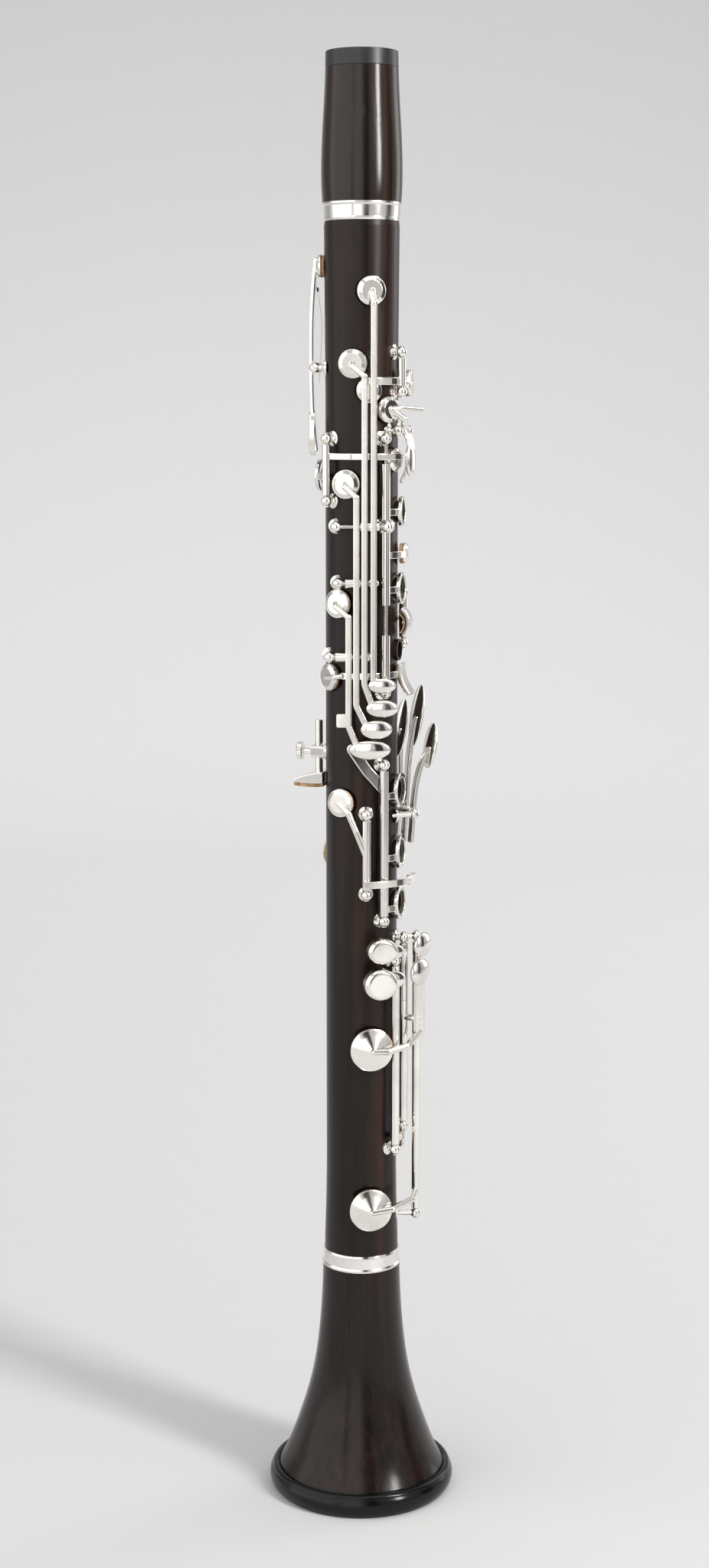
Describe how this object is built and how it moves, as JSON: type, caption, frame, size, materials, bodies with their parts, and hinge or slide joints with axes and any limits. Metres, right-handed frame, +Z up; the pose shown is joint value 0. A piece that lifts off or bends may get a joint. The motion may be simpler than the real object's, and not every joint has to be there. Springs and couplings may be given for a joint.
{
  "type": "clarinet",
  "caption": "Wooden clarinet body with barrel, two joints, flared bell, sprung silver keywork and an adjustable thumb rest.",
  "frame": {"origin": "centre of the bell's rim, on the surface that the clarinet stands on", "axes": "+Z up the bore; finger rings face -Y, thumb side faces +Y, side trill keys face -X"},
  "size_m": [0.0784, 0.0784, 0.595],
  "materials": {
    "grenadilla": "oiled satin",
    "silver": "polished silver plate",
    "steel": "polished",
    "cork": "natural cork",
    "pad": "matt tan",
    "black_ring": "satin black"
  },
  "bodies": {
    "instrument": {"bell": "grenadilla", "bell_ring": "silver", "lower_joint": "grenadilla", "bell_tenon_cork": "cork", "upper_joint": "grenadilla", "middle_tenon_cork": "cork", "barrel_tenon_cork": "cork", "upper_posts": "silver", "lower_posts": "silver", "upper_hinge_rods": "steel", "lower_hinge_rods": "steel", "thumb_rest_clamp": "silver"},
    "barrel": {"barrel": "grenadilla", "barrel_ring": "silver", "barrel_top_ring": "black_ring"},
    "thumb_rest": {"thumb_rest_hook": "silver", "thumb_rest_cork": "cork"},
    "thumb_screw": {"thumb_rest_screw": "silver"},
    "register_key": {"register_key": "silver", "register_pad": "pad"},
    "throat_g_sharp_key": {"throat_g_sharp_key": "silver", "throat_g_sharp_pad": "pad"},
    "throat_a_key": {"throat_a_key": "silver", "throat_a_pad": "pad"},
    "trill_1_key": {"trill_1_key": "silver", "trill_1_pad": "pad"},
    "trill_2_key": {"trill_2_key": "silver", "trill_2_pad": "pad"},
    "trill_3_key": {"trill_3_key": "silver", "trill_3_pad": "pad"},
    "trill_4_key": {"trill_4_key": "silver", "trill_4_pad": "pad"},
    "thumb_key": {"thumb_key": "silver", "thumb_pad": "pad"},
    "index_ring_key": {"index_ring_key": "silver"},
    "middle_ring_key": {"middle_ring_key": "silver", "middle_ring_pad": "pad"},
    "sliver_key": {"sliver_key": "silver", "sliver_pad": "pad"},
    "c_sharp_key": {"c_sharp_key": "silver", "c_sharp_pad": "pad"},
    "lower_ring_key": {"lower_ring_key": "silver"},
    "side_f_sharp_key": {"side_f_sharp_key": "silver", "side_f_sharp_pad": "pad"},
    "f_sharp_key": {"f_sharp_key": "silver", "f_sharp_pad": "pad"},
    "left_e_lever": {"left_e_lever": "silver"},
    "left_f_sharp_lever": {"left_f_sharp_lever": "silver"},
    "left_f_lever": {"left_f_lever": "silver"},
    "a_flat_key": {"a_flat_key": "silver", "a_flat_pad": "pad"},
    "low_g_sharp_key": {"low_g_sharp_key": "silver", "low_g_sharp_pad": "pad"},
    "low_f_key": {"low_f_key": "silver", "low_f_pad": "pad"},
    "low_e_key": {"low_e_key": "silver", "low_e_pad": "pad"}
  },
  "joints": [
    {"name": "barrel_slide", "type": "slide", "parent": "instrument", "child": "barrel", "axis": [0, 0, 1], "range_m": [0, 0.003]},
    {"name": "thumb_rest_slide", "type": "slide", "parent": "instrument", "child": "thumb_rest", "axis": [0, 0, 1], "range_m": [-0.005, 0.004]},
    {"name": "thumb_screw_turn", "type": "hinge", "parent": "instrument", "child": "thumb_screw", "pos_m": [-0.00118, 0.02257, 0.3172], "axis": [-0.0523, 0.9986, 0], "range_deg": [0, 180]},
    {"name": "register_turn", "type": "hinge", "parent": "instrument", "child": "register_key", "pos_m": [-0.00318, 0.01802, 0.4729], "axis": [-0.9848, -0.1736, 0], "range_deg": [0, 3], "stiffness_Nm_per_rad": 0.05, "springref_deg": -11.46},
    {"name": "throat_g_sharp_turn", "type": "hinge", "parent": "instrument", "child": "throat_g_sharp_key", "pos_m": [-0.00443, -0.01776, 0.4706], "axis": [0, 0, 1], "range_deg": [0, 2.5], "stiffness_Nm_per_rad": 0.05, "springref_deg": -11.46},
    {"name": "throat_a_turn", "type": "hinge", "parent": "instrument", "child": "throat_a_key", "pos_m": [-0.00251, -0.01782, 0.4481], "axis": [0.9903, -0.1392, 0], "range_deg": [0, 4], "stiffness_Nm_per_rad": 0.05, "springref_deg": -11.46},
    {"name": "trill_1_turn", "type": "hinge", "parent": "instrument", "child": "trill_1_key", "pos_m": [-0.01731, -0.00529, 0.4105], "axis": [0.2924, -0.9563, 0], "range_deg": [0, 0.9], "stiffness_Nm_per_rad": 0.05, "springref_deg": -11.46},
    {"name": "trill_2_turn", "type": "hinge", "parent": "instrument", "child": "trill_2_key", "pos_m": [-0.01731, -0.00529, 0.4105], "axis": [0.2924, -0.9563, 0], "range_deg": [0, 0.9], "stiffness_Nm_per_rad": 0.05, "springref_deg": -11.46},
    {"name": "trill_3_turn", "type": "hinge", "parent": "instrument", "child": "trill_3_key", "pos_m": [-0.01654, -0.00506, 0.388], "axis": [0.2924, -0.9563, 0], "range_deg": [0, 1.6], "stiffness_Nm_per_rad": 0.05, "springref_deg": -11.46},
    {"name": "trill_4_turn", "type": "hinge", "parent": "instrument", "child": "trill_4_key", "pos_m": [-0.01568, -0.00479, 0.3584], "axis": [0.2924, -0.9563, 0], "range_deg": [0, 1.2], "stiffness_Nm_per_rad": 0.05, "springref_deg": -11.46},
    {"name": "thumb_turn", "type": "hinge", "parent": "instrument", "child": "thumb_key", "pos_m": [-0.01526, 0.0101, 0.4326], "axis": [0, 0, 1], "range_deg": [-1.4, 0], "stiffness_Nm_per_rad": 0.05, "springref_deg": 11.46},
    {"name": "index_ring_turn", "type": "hinge", "parent": "instrument", "child": "index_ring_key", "pos_m": [-0.01213, -0.01371, 0.4256], "axis": [0, 0, 1], "range_deg": [0, 2.5], "stiffness_Nm_per_rad": 0.05, "springref_deg": -11.46},
    {"name": "middle_ring_turn", "type": "hinge", "parent": "instrument", "child": "middle_ring_key", "pos_m": [-0.01213, -0.01371, 0.3906], "axis": [0, 0, 1], "range_deg": [0, 2.5], "stiffness_Nm_per_rad": 0.05, "springref_deg": -11.46},
    {"name": "sliver_turn", "type": "hinge", "parent": "instrument", "child": "sliver_key", "pos_m": [0.01152, -0.01422, 0.3716], "axis": [0, 0, 1], "range_deg": [-4, 0], "stiffness_Nm_per_rad": 0.05, "springref_deg": 11.46},
    {"name": "c_sharp_turn", "type": "hinge", "parent": "instrument", "child": "c_sharp_key", "pos_m": [-0.01213, -0.01371, 0.3556], "axis": [0, 0, 1], "range_deg": [0, 3], "stiffness_Nm_per_rad": 0.05, "springref_deg": -11.46},
    {"name": "lower_ring_turn", "type": "hinge", "parent": "instrument", "child": "lower_ring_key", "pos_m": [-0.01248, -0.01338, 0.286], "axis": [0, 0, 1], "range_deg": [0, 2.2], "stiffness_Nm_per_rad": 0.05, "springref_deg": -11.46},
    {"name": "side_f_sharp_turn", "type": "hinge", "parent": "instrument", "child": "side_f_sharp_key", "pos_m": [-0.01679, -0.00727, 0.276], "axis": [0, 0, 1], "range_deg": [0, 4], "stiffness_Nm_per_rad": 0.05, "springref_deg": -11.46},
    {"name": "f_sharp_turn", "type": "hinge", "parent": "instrument", "child": "f_sharp_key", "pos_m": [0.01812, 0.00255, 0.273], "axis": [0, 0, 1], "range_deg": [0, 4.6], "stiffness_Nm_per_rad": 0.05, "springref_deg": -11.46},
    {"name": "left_e_turn", "type": "hinge", "parent": "instrument", "child": "left_e_lever", "pos_m": [0.01299, -0.01345, 0.292], "axis": [0.7193, 0.6947, 0], "range_deg": [-3, 0], "stiffness_Nm_per_rad": 0.05, "springref_deg": 11.46},
    {"name": "left_f_sharp_turn", "type": "hinge", "parent": "instrument", "child": "left_f_sharp_lever", "pos_m": [0.01299, -0.01345, 0.292], "axis": [0.7193, 0.6947, 0], "range_deg": [-3, 0], "stiffness_Nm_per_rad": 0.05, "springref_deg": 11.46},
    {"name": "left_f_turn", "type": "hinge", "parent": "instrument", "child": "left_f_lever", "pos_m": [0.01299, -0.01345, 0.292], "axis": [0.7193, 0.6947, 0], "range_deg": [-3, 0], "stiffness_Nm_per_rad": 0.05, "springref_deg": 11.46},
    {"name": "a_flat_turn", "type": "hinge", "parent": "instrument", "child": "a_flat_key", "pos_m": [0, -0.0183, 0.226], "axis": [0, 0, 1], "range_deg": [-4, 0], "stiffness_Nm_per_rad": 0.05, "springref_deg": 11.46},
    {"name": "low_g_sharp_turn", "type": "hinge", "parent": "instrument", "child": "low_g_sharp_key", "pos_m": [-0.00795, -0.01704, 0.196], "axis": [0, 0, 1], "range_deg": [-3.5, 0], "stiffness_Nm_per_rad": 0.05, "springref_deg": 11.46},
    {"name": "low_f_turn", "type": "hinge", "parent": "instrument", "child": "low_f_key", "pos_m": [0, -0.0183, 0.196], "axis": [0, 0, 1], "range_deg": [-4, 0], "stiffness_Nm_per_rad": 0.05, "springref_deg": 11.46},
    {"name": "low_e_turn", "type": "hinge", "parent": "instrument", "child": "low_e_key", "pos_m": [0.00593, -0.02212, 0.176], "axis": [0, 0, 1], "range_deg": [-3, 0], "stiffness_Nm_per_rad": 0.05, "springref_deg": 11.46}
  ],
  "couplings": [
    {"joint": "left_f_turn", "follows": "low_f_turn", "ratio": 0.7},
    {"joint": "left_e_turn", "follows": "low_e_turn", "ratio": 0.9},
    {"joint": "left_f_sharp_turn", "follows": "f_sharp_turn", "ratio": -0.45}
  ]
}
